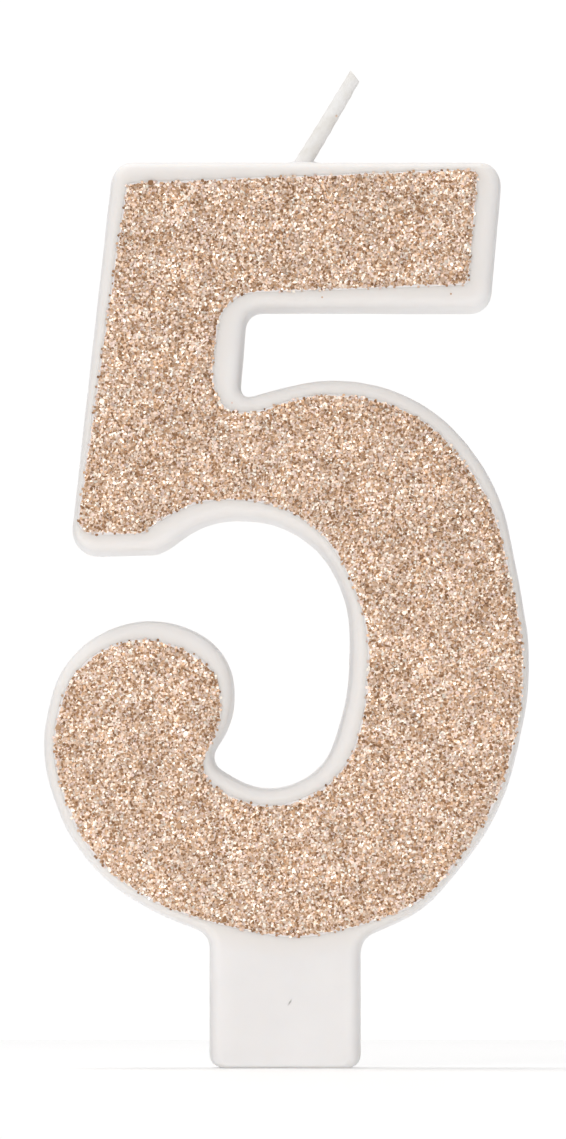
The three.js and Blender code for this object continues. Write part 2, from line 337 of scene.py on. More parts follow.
def inside(points, loop):
    """Which points lie inside the closed line."""
    result = np.zeros(len(points), bool)
    following = np.roll(loop, -1, axis=0)
    for (x0, z0), (x1, z1) in zip(loop, following):
        spans = (points[:, 1] < z0) != (points[:, 1] < z1)
        if spans.any():
            crossing = x0 + (points[spans, 1] - z0) * (x1 - x0) / (z1 - z0)
            result[spans] ^= points[spans, 0] < crossing
    return result


def clearance(points, loop):
    """Distance from each point to the nearest point of the closed line."""
    nearest = np.full(len(points), 1.0)
    for place in loop:
        nearest = np.minimum(nearest, np.hypot(points[:, 0] - place[0], points[:, 1] - place[1]))
    return nearest


def plane_noise(points, cell, layer):
    """Smooth noise at places in the XZ plane; each layer number gives another pattern."""
    return np.array([noise.noise(Vector((x / cell, layer, z / cell))) for x, z in points])


def jittered_grid(loop, step, margin):
    """Points on a shaken triangular grid inside the closed line, clear of it by the margin."""
    low, high = loop.min(axis=0), loop.max(axis=0)
    rows = np.arange(low[1], high[1], step * math.sqrt(0.75))
    columns = np.arange(low[0], high[0], step)
    x, z = np.meshgrid(columns, rows)
    x = x + (np.arange(len(rows)) % 2)[:, None] * step / 2
    points = np.stack((x.ravel(), z.ravel()), axis=1)
    points = points + random.uniform(-GRID_SHAKE, GRID_SHAKE, points.shape) * step
    points = points[inside(points, loop)]
    return points[clearance(points, loop) > margin]


def filled(loop, interior):
    """Triangles that fill a closed line: its own points come first, then the interior ones."""
    points = np.concatenate((loop, interior))
    unit = MM  # the triangulation works in millimetres, where its tolerance is small
    places, _, faces, origins, _, _ = delaunay_2d_cdt(
        [Vector(point / unit) for point in points],
        [],
        [list(range(len(loop)))],
        1,
        1e-5,
    )
    assert len(places) == len(points)
    index = [origin[0] for origin in origins]
    return np.array([[index[corner] for corner in face] for face in faces])


# ---------------------------------------------------------------- meshes
def make_piece(name, points, faces, material, smooth=True):
    """A mesh object in the scene, with one material or a list of them."""
    mesh = bpy.data.meshes.new(name)
    mesh.from_pydata(np.asarray(points).tolist(), [], [list(map(int, face)) for face in faces])
    mesh.validate()
    mesh.update()
    for slot_material in material if isinstance(material, list) else [material]:
        mesh.materials.append(slot_material)
    mesh.polygons.foreach_set("use_smooth", [smooth] * len(mesh.polygons))
    piece = bpy.data.objects.new(name, mesh)
    bpy.context.scene.collection.objects.link(piece)
    return piece


def loft_faces(ring_count, size):
    """Faces between rings of equal size, given from front to back, with anticlockwise rings."""
    faces = []
    for ring in range(ring_count - 1):
        near = ring * size + np.arange(size)
        near_next = ring * size + (np.arange(size) + 1) % size
        faces.append(np.stack((near, near + size, near_next + size, near_next), axis=1))
    return np.concatenate(faces)


def stand(points, depth):
    """Rows of x and z put at a depth, as rows of x, y and z."""
    return np.stack((points[:, 0], np.broadcast_to(depth, len(points)), points[:, 1]), axis=1)


def closed_loft(rings, depths, face_grid=None, extra_face_points=None):
    """Points and faces of a closed body through rings, with its front and back faces filled."""
    size = len(rings[0])
    front_inner, back_inner = np.empty((0, 2)), np.empty((0, 2))
    if face_grid:
        front_inner = jittered_grid(rings[0], face_grid, GRID_MARGIN * face_grid)
        back_inner = jittered_grid(rings[-1], face_grid, GRID_MARGIN * face_grid)
    if extra_face_points is not None:
        apart = clearance(front_inner, extra_face_points) > PATCH_MARGIN * face_grid
        front_inner = np.concatenate((front_inner[apart], extra_face_points))
    body = [stand(ring, depth) for ring, depth in zip(rings, depths)]
    sides = loft_faces(len(rings), size)
    front = filled(rings[0], front_inner)
    back = filled(rings[-1], back_inner)
    start = len(rings) * size
    front = np.where(front < size, front, front - size + start)
    back_start = start + len(front_inner)
    back = np.where(back < size, back + start - size, back - size + back_start)
    points = np.concatenate(body + [stand(front_inner, depths[0]), stand(back_inner, depths[-1])])
    faces = [list(face) for face in sides]
    faces += [list(face) for face in front]
    faces += [list(face[::-1]) for face in back]
    return points, faces


# ---------------------------------------------------------------- materials
NOISE_RANGE = (0.3, 0.7)          # where most values of a noise pattern lie


def principled(name, colour, roughness, **values):
    """A material and its node tree's parts: the tree and the Principled shader."""
    material = bpy.data.materials.new(name)
    material.use_nodes = True
    tree = material.node_tree
    shader = tree.nodes["Principled BSDF"]
    shader.inputs["Base Color"].default_value = (*colour, 1.0)
    shader.inputs["Roughness"].default_value = roughness
    for key, value in values.items():
        shader.inputs[key.replace("_", " ")].default_value = value
    return material, tree, shader


def object_noise(tree, scale, detail=2.0, roughness=0.5):
    """A noise pattern fixed to the object, with so many cells in a metre."""
    place = tree.nodes.new("ShaderNodeTexCoord")
    pattern = tree.nodes.new("ShaderNodeTexNoise")
    pattern.inputs["Scale"].default_value = scale
    pattern.inputs["Detail"].default_value = detail
    pattern.inputs["Roughness"].default_value = roughness
    tree.links.new(place.outputs["Object"], pattern.inputs["Vector"])
    return pattern.outputs["Fac"]


def ramp(tree, value, stops):
    """A colour ramp over the value. stops are (position, colour)."""
    node = tree.nodes.new("ShaderNodeValToRGB")
    elements = node.color_ramp.elements
    while len(elements) < len(stops):
        elements.new(0.5)
    for element, (position, colour) in zip(elements, stops):
        element.position = position
        element.color = (*colour, 1.0)
    tree.links.new(value, node.inputs["Fac"])
    return node.outputs["Color"]


def spread(tree, value, low, high):
    """A noise pattern's usual range stretched from low to high."""
    node = tree.nodes.new("ShaderNodeMapRange")
    node.inputs["From Min"].default_value, node.inputs["From Max"].default_value = NOISE_RANGE
    node.inputs["To Min"].default_value = low
    node.inputs["To Max"].default_value = high
    tree.links.new(value, node.inputs["Value"])
    return node.outputs["Result"]


def blended(tree, colour, attribute, other):
    """The colour, mixed towards another one where the mesh attribute says so."""
    amount = tree.nodes.new("ShaderNodeAttribute")
    amount.attribute_name = attribute
    mix = tree.nodes.new("ShaderNodeMix")
    mix.data_type = "RGBA"
    tree.links.new(amount.outputs["Fac"], mix.inputs["Factor"])
    tree.links.new(colour, mix.inputs["A"])
    mix.inputs["B"].default_value = (*other, 1.0)
    return mix.outputs["Result"]


def bump(tree, shader, height, distance, strength, under=None):
    """Relief on the shader from a height pattern, over any relief that is already there."""
    node = tree.nodes.new("ShaderNodeBump")
    node.inputs["Distance"].default_value = distance
    node.inputs["Strength"].default_value = strength
    tree.links.new(height, node.inputs["Height"])
    if under is not None:
        tree.links.new(under, node.inputs["Normal"])
    tree.links.new(node.outputs["Normal"], shader.inputs["Normal"])
    return node.outputs["Normal"]


def wax_material():
    """Satin white wax, slightly translucent; beside the glitter it is pinkish from glitter dust and
    darker from painted shade, and the nick has painted shade.
    """
    material, tree, shader = principled(
        "white_wax", WAX_COLOUR, 0.5, IOR=1.44, Subsurface_Weight=0.6, Subsurface_Scale=1.0 * MM
    )
    shader.inputs["Subsurface Radius"].default_value = (1.2, 1.1, 1.0)
    shader.inputs["Specular IOR Level"].default_value = 0.3
    clouds = object_noise(tree, 120, 3.0)
    colour = ramp(tree, clouds, [(0.3, (0.835, 0.815, 0.805)), (0.7, (0.875, 0.855, 0.845))])
    # glitter dust and painted shade: the wax is tinted pinker and darker beside the glitter
    dusted_and_shaded = blended(tree, colour, "blush", DUST_AND_SHADE_COLOUR)
    # painted shade in the nick, weighted by the gouge's depth
    tree.links.new(blended(tree, dusted_and_shaded, "nick", NICK_PAINTED_SHADE), shader.inputs["Base Color"])
    tree.links.new(spread(tree, object_noise(tree, 700, 4.0), 0.42, 0.58), shader.inputs["Roughness"])
    soft = bump(tree, shader, object_noise(tree, 260, 2.0), 0.06 * MM, 0.5)
    bump(tree, shader, object_noise(tree, 5200, 5.0, 0.65), 0.004 * MM, 0.6, soft)
    return material


def glue_material():
    """Dried glue: pinkish and glossy where it is thick, like the wax where it thins out."""
    material, tree, shader = principled("dried_glue", (0.8, 0.74, 0.72), 0.3, IOR=1.47)
    clouds = object_noise(tree, 420, 3.0)
    colour = ramp(tree, clouds, [(0.35, (0.80, 0.74, 0.725)), (0.7, (0.84, 0.80, 0.79))])
    tree.links.new(blended(tree, colour, "thinning", WAX_COLOUR), shader.inputs["Base Color"])
    bump(tree, shader, object_noise(tree, 1500, 2.0), 0.05 * MM, 0.5)
    return material


def cotton_material():
    """Undyed cotton with fine fibres, varying in tone, with painted shade in the hollows between them."""
    material, tree, shader = principled("cotton", (0.84, 0.81, 0.74), 0.85)
    fibres = object_noise(tree, 9000, 4.0, 0.7)
    # painted shade: the same pattern makes the fibres' relief below, so the cotton is darker in its
    # hollows
    colour = ramp(tree, fibres, [(0.3, (0.72, 0.68, 0.60)), (0.7, (0.90, 0.88, 0.82))])
    tree.links.new(colour, shader.inputs["Base Color"])
    bump(tree, shader, fibres, 0.03 * MM, 0.8)
    return material


def wick_wax_material():
    """The wick's wax, a little yellower in streaks."""
    material, tree, shader = principled(
        "wick_wax", (0.84, 0.82, 0.79), 0.45, IOR=1.44, Specular_IOR_Level=0.3
    )
    streaks = object_noise(tree, 900, 3.0)
    colour = ramp(tree, streaks, [(0.3, (0.80, 0.775, 0.735)), (0.7, (0.87, 0.86, 0.85))])
    tree.links.new(colour, shader.inputs["Base Color"])
    bump(tree, shader, object_noise(tree, 1300, 3.0), 0.05 * MM, 0.5)
    return material


def srgb(red, green, blue):
    """A colour given as the eye reads it, 0 to 255, as linear values."""
    values = [value / 255 for value in (red, green, blue)]
    return tuple(
        value / 12.92 if value < 0.04045 else ((value + 0.055) / 1.055) ** 2.4
        for value in values
    )


# name: (colour, roughness, share of all flakes)
TINTS = {
    "pearl": (srgb(249, 238, 224), 0.36, 0.10),
    "champagne": (srgb(239, 216, 197), 0.40, 0.15),
    "blush": (srgb(227, 202, 190), 0.42, 0.12),
    "rose_gold": (srgb(215, 184, 159), 0.42, 0.25),
    "copper": (srgb(195, 157, 124), 0.44, 0.21),
    "bronze": (srgb(153, 113, 80), 0.46, 0.17),
}


def flake_material(name):
    """Metallised foil under lacquer: its tint and its shine drift a little over the coat."""
    colour, roughness, _ = TINTS[name]
    material, tree, shader = principled(
        f"glitter_{name}", colour, roughness, Metallic=0.8, Coat_Weight=0.25, Coat_Roughness=0.15
    )
    drift = object_noise(tree, 330, 3.0)
    deeper, paler = (tuple(min(value * share, 1.0) for value in colour) for share in (0.92, 1.07))
    tree.links.new(ramp(tree, drift, [(0.35, deeper), (0.65, paler)]), shader.inputs["Base Color"])
    tree.links.new(spread(tree, drift, roughness + 0.05, roughness - 0.05), shader.inputs["Roughness"])
    return material


# ---------------------------------------------------------------- the casting
def casting_rings():
    """The casting's rings from front to back, and their depths."""
    depths = sorted({round(vertex.co.y, 7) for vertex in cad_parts["wax_body"].data.vertices})
    front, back = depths[0], depths[-1]
    wall_start, widest = front + FRONT_ROUNDING, back - BACK_ROUNDING
    wide = smooth_outline("wax_body", widest, OUTLINE_STEP, OUTLINE_SOFTENING)
    inner = [
        smooth_outline("wax_body", depth, OUTLINE_STEP / 2, OUTLINE_SOFTENING)
        for depth in (front, wall_start, back)
    ]
    face, wall, rear = (facing(wide, outline, OUTLINE_STEP) for outline in inner)
    rings, ring_depths = [], []
    for step in range(EDGE_STEPS):
        angle = step / EDGE_STEPS * math.pi / 2
        rings.append(wall + (face - wall) * (1 - math.sin(angle)))
        ring_depths.append(front + (wall_start - front) * (1 - math.cos(angle)))
    for step in range(WALL_STEPS):
        share = step / WALL_STEPS
        rings.append(wall + (wide - wall) * share)
        ring_depths.append(wall_start + (widest - wall_start) * share)
    for step in range(BACK_STEPS + 1):
        angle = step / BACK_STEPS * math.pi / 2
        rings.append(wide + (rear - wide) * (1 - math.cos(angle)))
        ring_depths.append(widest + (back - widest) * math.sin(angle))
    return rings, ring_depths


def nick_depth(x, z):
    """Share of the nick's depth at a place on the tab's front: a short slanting gouge."""
    across = (x - NICK_PLACE[0]) * math.cos(NICK_LEAN) - (z - NICK_PLACE[1]) * math.sin(-NICK_LEAN)
    along = (x - NICK_PLACE[0]) * math.sin(-NICK_LEAN) + (z - NICK_PLACE[1]) * math.cos(NICK_LEAN)
    return math.exp(-((across / NICK_SIZE[0]) ** 2) - (along / NICK_SIZE[1]) ** 2)


def nick_points():
    """A fine patch of points for the nick in the tab's front face."""
    reach = NICK_REACH * NICK_SIZE[1]
    steps = np.arange(-reach, reach, NICK_GRID)
    x, z = np.meshgrid(steps, steps)
    points = np.stack((x.ravel(), z.ravel()), axis=1) + NICK_PLACE
    return points + random.uniform(-NICK_GRID_SHAKE, NICK_GRID_SHAKE, points.shape) * NICK_GRID


def refine_near_wick(piece):
    """Split the casting's faces where the wick comes out, so the wax can climb up it smoothly."""
    mesh = bmesh.new()
    mesh.from_mesh(piece.data)
    for _ in range(2):
        near = [
            edge
            for edge in mesh.edges
            if wick_distance((edge.verts[0].co + edge.verts[1].co) / 2)[0] < COLLAR_REACH
            and edge.verts[0].co.z > wax_high.z - COLLAR_BELOW
        ]
        bmesh.ops.subdivide_edges(mesh, edges=near, cuts=1, use_grid_fill=True)
    bmesh.ops.triangulate(mesh, faces=[face for face in mesh.faces if len(face.verts) > 4])
    mesh.to_mesh(piece.data)
    mesh.free()


def wick_distance(place):
    """Distance from the wick's middle line, and the line's direction there."""
    line, along, _ = WICK_COARSE
    gaps = np.array((place.x, place.z)) - line
    index = int(np.argmin(np.sum(gaps**2, axis=1)))
    aside = gaps[index][0] * along[index][1] - gaps[index][1] * along[index][0]
    return math.hypot(aside, place.y), along[index]


def float_attribute(piece, name, values):
    """Store one number for each vertex, for a material to read."""
    attribute = piece.data.attributes.new(name, "FLOAT", "POINT")
    attribute.data.foreach_set("value", np.asarray(values, np.float32))


def dust_and_shade_amount(places):
    """How much glitter dust and painted shade tint the wax at each place: most beside the glitter, fading
    outwards and backwards.
    """
    coated = glitter_outline(GLUE_STEP)
    spots = places[:, (0, 2)]
    gaps = np.where(inside(spots, coated), 0.0, clearance(spots, coated))
    beside = np.maximum(0, 1 - gaps / DUST_AND_SHADE_WIDTH)
    return beside * np.maximum(0, 1 - (places[:, 1] - wax_low.y) / DUST_AND_SHADE_DEPTH)


def cast_wax(material):
    """The wax numeral: the CAD outlines rounded and eased, with the soft uneven surface of a casting."""
    rings, depths = casting_rings()
    points, faces = closed_loft(rings, depths, FACE_GRID, nick_points())
    piece = make_piece("wax_casting", points, faces, material)
    refine_near_wick(piece)
    mesh = piece.data
    middle = (wax_low.y + wax_high.y) / 2
    places = np.array([tuple(vertex.co) for vertex in mesh.vertices])
    deep = np.clip(clearance(places[:, (0, 2)], rings[-1]) / BACK_SINK_RIM, 0, 1)
    gouged = np.zeros(len(places))
    for vertex in mesh.vertices:
        place = vertex.co
        wander = noise.noise_vector(place / WIDE_WAVE) + 0.5 * noise.noise_vector(place / SHORT_WAVE)
        moved = place + wander * SURFACE_WANDER
        if place.y < wax_low.y + ON_FACE:
            gouged[vertex.index] = nick_depth(place.x, place.z)
            moved.y = wax_low.y + gouged[vertex.index] * NICK_DEPTH
        if place.y > wax_high.y - ON_FACE:
            moved.y = place.y - BACK_SINK * deep[vertex.index] ** 2 * (0.7 + 0.3 * wander.y)
        if place.z > wax_high.z - COLLAR_BELOW and abs(place.y - middle) < COLLAR_DEPTH:
            distance, heading = wick_distance(place)
            climb = COLLAR_HEIGHT * math.exp(-max(0.0, distance - COAT_RADII[0]) / COLLAR_SPREAD)
            moved += Vector((heading[0], 0.0, heading[1])) * climb
        vertex.co = moved
    # the gouge's depth share, also the mask of the painted shade in the nick
    float_attribute(piece, "nick", gouged)
    # mask of the glitter dust and painted shade beside the glitter
    float_attribute(piece, "blush", dust_and_shade_amount(places))
    mesh.polygons.foreach_set("use_smooth", [True] * len(mesh.polygons))
    mesh.update()
    return piece


def ragged(loop, coarse, fine):
    """The closed line pushed in and out: coarse over a few millimetres, fine from point to point."""
    waves = plane_noise(loop, RAGGED_WAVE, RAGGED_LAYER)
    grains = random.uniform(-1, 1, len(loop))
    return loop + inward(loop) * (waves * coarse + grains * fine)[:, None]


def glitter_outline(step):
    """The coat's outline, eased."""
    return smooth_outline("glitter_layer", round(bed_low.y, 7), step, COAT_EASING)


def spread_glue(material):
    """The glue under the flakes: it runs out past them in places and thins to nothing on the wax."""
    outline = glitter_outline(GLUE_STEP)
    run_out = np.interp(plane_noise(outline, GLUE_WAVE, GLUE_LAYER), GLUE_NOISE_RANGE, GLUE_RUN_OUT)
    normals = inward(outline)
    edge = outline - normals * run_out[:, None]
    foot = wax_low.y + SINK
    rings, depths, thinning = [outline], [film_low.y], [0.0]
    for step in range(GLUE_STEPS + 1):
        share = step / GLUE_STEPS
        rings.append(edge - normals * GLUE_TAPER * share)
        depths.append(film_low.y + (foot - film_low.y) * (3 - 2 * share) * share**2)
        thinning.append(share)
    points, faces = closed_loft(rings, depths)
    piece = make_piece("glue_film", points, faces, material)
    float_attribute(piece, "thinning", np.repeat(thinning, len(outline)))
    return piece


def pick_tints(count):
    """A random tint number for each of so many flakes, in the tints' shares."""
    shares = np.array([share for _, _, share in TINTS.values()])
    return random.choice(len(TINTS), count, p=shares / shares.sum())


def settled(places, edge):
    """How much lower the coat lies at each place because it thins out towards its edge."""
    return RIM_DROP * np.exp(-((clearance(places, edge) / RIM_WIDTH) ** 2))


def glitter_bed(outline, materials):
    """The lower flakes: one closed skin of small flat facets, each with its own tilt and tint."""
    edge = ragged(outline, RAGGED_COARSE, RAGGED_FINE)
    inner = jittered_grid(edge, FACET_SIZE, FACET_MARGIN)
    triangles = filled(edge, inner)
    size = len(edge)
    height, length = LUMPINESS
    relief = bed_low.y + FACET_LEVEL + height * plane_noise(inner, length, BED_LAYER)
    relief = relief + random.uniform(-FACET_JITTER, FACET_JITTER, len(inner)) + settled(inner, edge)
    rim_relief = film_low.y - random.uniform(0.0, RIM_JITTER, size)
    back_edge = stand(edge, film_low.y + SINK)
    points = np.concatenate((stand(edge, rim_relief), stand(inner, relief), back_edge))
    near = np.arange(size)
    near_next = (near + 1) % size
    back_start = size + len(inner)
    rim = np.stack((near, near + back_start, near_next + back_start, near_next), axis=1)
    back = filled(edge, np.empty((0, 2))) + back_start
    faces = [list(face) for face in triangles]
    faces += [list(face) for face in rim]
    faces += [list(face[::-1]) for face in back]
    piece = make_piece("glitter_bed", points, faces, materials, smooth=False)
    piece.data.polygons.foreach_set("material_index", pick_tints(len(piece.data.polygons)))
    return piece


def hexagon_plates(centres, normals, radii, turns):
    """Points and faces of thin six-sided plates."""
    count = len(centres)
    helper = np.where(np.abs(normals[:, 2:3]) < 0.9, [[0.0, 0.0, 1.0]], [[1.0, 0.0, 0.0]])
    across = np.cross(normals, helper)
    across /= np.linalg.norm(across, axis=1)[:, None]
    upward = np.cross(normals, across)
    angles = turns[:, None] + np.arange(FLAKE_SIDES) * 2 * math.pi / FLAKE_SIDES
    ring = (
        centres[:, None, :]
        + across[:, None, :] * (np.cos(angles) * radii[:, None])[:, :, None]
        + upward[:, None, :] * (np.sin(angles) * radii[:, None])[:, :, None]
    )
    half = normals[:, None, :] * FLAKE_THICKNESS / 2
    points = np.concatenate((ring + half, ring - half), axis=1).reshape(-1, 3)
    first = (np.arange(count) * 2 * FLAKE_SIDES)[:, None]
    top = first + np.arange(FLAKE_SIDES)
    bottom = first + FLAKE_SIDES + np.arange(FLAKE_SIDES)[::-1]
    faces = [list(face) for face in top] + [list(face) for face in bottom]
    for side in range(FLAKE_SIDES):
        following = (side + 1) % FLAKE_SIDES
        quad = first + np.array([side, side + FLAKE_SIDES, following + FLAKE_SIDES, following])
        faces += [list(face) for face in quad]
    return points, faces


def scattered(loop, count):
    """Random places inside a closed line."""
    low, high = loop.min(axis=0), loop.max(axis=0)
    places = random.uniform(low, high, (count * 4, 2))
    return places[inside(places, loop)][:count]


def tilted(count, spread):
    """Normals that face the front, give or take a random tilt."""
    tilt = np.abs(random.normal(0, spread, count))
    turn = random.uniform(0, 2 * math.pi, count)
    return np.stack((np.sin(tilt) * np.cos(turn), -np.cos(tilt), np.sin(tilt) * np.sin(turn)), axis=1)


def flakes_on_wax(casting, outline, low, high, count):
    """Flakes stuck to the wax outside the coat's outline: their centres and normals."""
    chosen = random.integers(0, len(outline), count)
    away = inward(outline)[chosen] * random.uniform(low, high, count)[:, None]
    found = [
        casting.ray_cast(Vector((x, wax_low.y - RAY_START, z)), Vector((0, 1, 0)))
        for x, z in outline[chosen] - away
    ]
    rearmost = wax_low.y + STICKS_WITHIN
    found = [(place, normal) for hit, place, normal, _ in found if hit and place.y < rearmost]
    centres = np.array([place + normal * STICK_OUT for place, normal in found])
    return centres, np.array([normal for _, normal in found])


def loose_flakes(outline, casting, materials):
    """The flakes on the bed, its loose fringe and a few strays, all tilted; a piece for each tint."""
    edge = ragged(outline, RAGGED_COARSE, RAGGED_FINE)
    places = scattered(edge, FLAKE_COUNT)
    depth = bed_low.y + random.uniform(0.0, FLAKE_DEPTH, len(places)) + settled(places, edge)
    lumps = scattered(edge, LUMP_COUNT)
    fringe, fringe_normals = flakes_on_wax(casting, outline, 0.0, FRINGE_REACH, FRINGE_COUNT)
    fringe[:, 1] -= random.uniform(*FRINGE_LIFT, len(fringe))
    fringe_normals = fringe_normals + random.normal(0, FRINGE_TILT, fringe_normals.shape)
    fringe_normals /= np.linalg.norm(fringe_normals, axis=1)[:, None]
    strays, stray_normals = flakes_on_wax(casting, outline, *STRAY_REACH, STRAY_COUNT)
    speck, speck_normal = flake_on_wick()
    centres = np.concatenate((stand(places, depth), stand(lumps, bed_low.y), fringe, strays, speck))
    normals = np.concatenate((
        tilted(len(places), FLAKE_TILT),
        tilted(len(lumps), LUMP_TILT),
        fringe_normals,
        stray_normals,
        speck_normal,
    ))
    radii = np.concatenate((
        random.uniform(*FLAKE_RADIUS, len(places)),
        random.uniform(*LUMP_RADIUS, len(lumps)),
        random.uniform(*FLAKE_RADIUS, len(fringe)),
        random.uniform(*STRAY_RADIUS, len(strays)),
        [WICK_FLAKE_RADIUS],
    ))
    spin = random.uniform(0, math.pi, len(centres))
    tints = pick_tints(len(centres))
    tints[-1] = list(TINTS).index("champagne")
    pieces = []
    for number, name in enumerate(TINTS):
        chosen = tints == number
        points, faces = hexagon_plates(centres[chosen], normals[chosen], radii[chosen], spin[chosen])
        pieces.append(make_piece(f"flakes_{name}", points, faces, materials[number], smooth=False))
    return pieces


# ---------------------------------------------------------------- the wick
def wick_line(count):
    """Evenly spaced places along the wick, with the direction and the distance run at each."""
    points = WICK_ROUTE
    knots = np.concatenate(([0.0], np.cumsum(np.sqrt(np.linalg.norm(np.diff(points, axis=0), axis=1)))))
    slopes = np.gradient(points, knots, axis=0)
    dense = []
    for i in range(len(points) - 1):
        span = knots[i + 1] - knots[i]
        t = np.linspace(0, 1, SPAN_STEPS, endpoint=False)[:, None]
        dense.append(
            points[i] * (2 * t**3 - 3 * t**2 + 1)
            + slopes[i] * span * (t**3 - 2 * t**2 + t)
            + points[i + 1] * (3 * t**2 - 2 * t**3)
            + slopes[i + 1] * span * (t**3 - t**2)
        )
    dense = np.concatenate(dense + [points[-1:]])
    length = np.concatenate(([0.0], np.cumsum(np.linalg.norm(np.diff(dense, axis=0), axis=1))))
    run = np.linspace(0, length[-1], count)
    line = np.stack([np.interp(run, length, dense[:, axis]) for axis in (0, 1)], axis=1)
    along = np.gradient(line, axis=0)
    along /= np.linalg.norm(along, axis=1)[:, None]
    return line, along, run


def off_wick(distance, aside, depth):
    """Points beside the wick's middle line: at a distance along it, to its left and behind it."""
    line, along, run = WICK_SAMPLES
    place = np.stack([np.interp(distance, run, line[:, axis]) for axis in (0, 1)], axis=-1)
    heading = np.stack([np.interp(distance, run, along[:, axis]) for axis in (0, 1)], axis=-1)
    x = place[..., 0] - heading[..., 1] * aside
    z = place[..., 1] + heading[..., 0] * aside
    return np.stack((x, depth + np.zeros_like(x), z), axis=-1)


def snip_distance(aside):
    """How far along the wick the slanting snip meets a thread that runs at an offset from the middle."""
    run = WICK_SAMPLES[2]
    places = off_wick(run, np.full_like(run, aside), 0.0)
    past = (places[:, (0, 2)] - SNIP_PLACE) @ SNIP_NORMAL
    return float(np.interp(0.0, past, run))


def coat_radius(distance):
    """The wick's radius: it is thickest where it leaves the wax."""
    line, _, run = WICK_SAMPLES
    bare_from = np.interp(wax_high.z, line[:, 1], run)
    return float(np.interp(distance, (bare_from, snip_distance(0.0)), COAT_RADII))


def flake_on_wick():
    """Centre and normal of the one flake that stuck to the wick, on its right-hand side."""
    reach = coat_radius(WICK_FLAKE_AT)
    aside, depth = -reach * math.cos(WICK_FLAKE_BEARING), -reach * math.sin(WICK_FLAKE_BEARING)
    centre, beyond = (
        off_wick(WICK_FLAKE_AT, aside * scale, depth * scale)
        for scale in (WICK_FLAKE_OUT, 2.0)
    )
    return centre[None], ((beyond - centre) / np.linalg.norm(beyond - centre))[None]


def strand_middle(distance, number):
    """Offsets of a strand's middle from the wick's: aside and in depth."""
    phase = 2 * math.pi * (distance / PLAIT_LAY + number / STRANDS)
    return PLAIT_WIDTH * np.sin(phase), PLAIT_DEPTH * np.sin(2 * phase)


def tube(name, rings, material):
    """A closed body through rings of points, with a middle point in each end."""
    count, size = rings.shape[:2]
    middles = [rings[0].mean(axis=0), rings[-1].mean(axis=0)]
    points = np.concatenate((rings.reshape(-1, 3), middles))
    faces = [list(face) for face in loft_faces(count, size)]
    last = (count - 1) * size
    for i in range(size):
        following = (i + 1) % size
        faces.append([count * size, i, following])
        faces.append([count * size + 1, last + following, last + i])
    piece = make_piece(name, points, faces, material)
    mesh = bmesh.new()
    mesh.from_mesh(piece.data)
    bmesh.ops.recalc_face_normals(mesh, faces=mesh.faces)
    mesh.to_mesh(piece.data)
    mesh.free()
    return piece


def wick_strand(number, material):
    """One cotton strand of the plait, twisted from fibres, snipped at the tip."""
    angles = np.linspace(0, 2 * math.pi, STRAND_SIDES, endpoint=False)
    slant_from = snip_distance(0.0) - STRAND_SLANT

    def surface(distance):
        middle_aside, middle_depth = strand_middle(distance, number)
        fibres = np.cos(STRAND_FIBRES * (angles - distance / FIBRE_LAY))
        radius = STRAND_RADIUS * (1 + FIBRE_RELIEF * fibres)
        return middle_aside + radius * np.cos(angles), middle_depth + radius * np.sin(angles)

    rings = []
    for distance in np.arange(STRANDS_FROM, slant_from, WICK_STEP):
        aside, depth = surface(distance)
        rings.append(off_wick(np.full_like(aside, distance), aside, depth))
    for step in range(1, STRAND_SLANT_RINGS + 1):
        share = step / STRAND_SLANT_RINGS
        aside, depth = surface(slant_from + share * STRAND_SLANT)
        reach = np.array([snip_distance(value) for value in aside])
        rings.append(off_wick(slant_from + (reach - slant_from) * share, aside, depth))
    return tube(f"wick_cotton_{number + 1}", np.array(rings), material)


def coat_surface(angles, distance):
    """Offsets of the wick's wax from its middle line, aside and in depth; the plait shows through."""
    radius = np.full_like(angles, coat_radius(distance))
    for number in range(STRANDS):
        aside, depth = strand_middle(distance, number)
        turn = (angles - np.arctan2(depth, aside) + math.pi) % (2 * math.pi) - math.pi
        rise = COAT_RELIEF * np.hypot(aside, depth) / PLAIT_WIDTH
        radius = radius + rise * np.exp(-((turn / COAT_RELIEF_ANGLE) ** 2))
    level = distance / COAT_ROUGH_CELL
    rough = [noise.noise(Vector((3 * math.cos(angle), 3 * math.sin(angle), level))) for angle in angles]
    radius = radius + COAT_ROUGHNESS * np.array(rough)
    return radius * np.cos(angles), radius * np.sin(angles)


def wick_coat(material):
    """The wax on the wick, snipped slantwise, with the cut end sunk a little in its middle."""
    angles = np.linspace(0, 2 * math.pi, COAT_SIDES, endpoint=False)
    slant_from = snip_distance(-COAT_RADII[1]) - SNIP_CLEARANCE
    rings = []
    for distance in np.arange(0.0, slant_from, WICK_STEP):
        aside, depth = coat_surface(angles, distance)
        rings.append(off_wick(np.full_like(aside, distance), aside, depth))
    aside, depth = coat_surface(angles, slant_from)
    reach = np.array([snip_distance(value) for value in aside])
    for step in range(SNIP_RINGS):
        share = step / (SNIP_RINGS - 1)
        rings.append(off_wick(slant_from + (reach - SNIP_EDGE - slant_from) * share, aside, depth))
    for scale, sink in SNIP_FACE:
        inner = np.array([snip_distance(value) for value in aside * scale])
        rings.append(off_wick(inner - sink, aside * scale, depth * scale))
    return tube("wick_wax_skin", np.array(rings), material)


WICK_SAMPLES = wick_line(FINE_COUNT)
WICK_COARSE = wick_line(COARSE_COUNT)


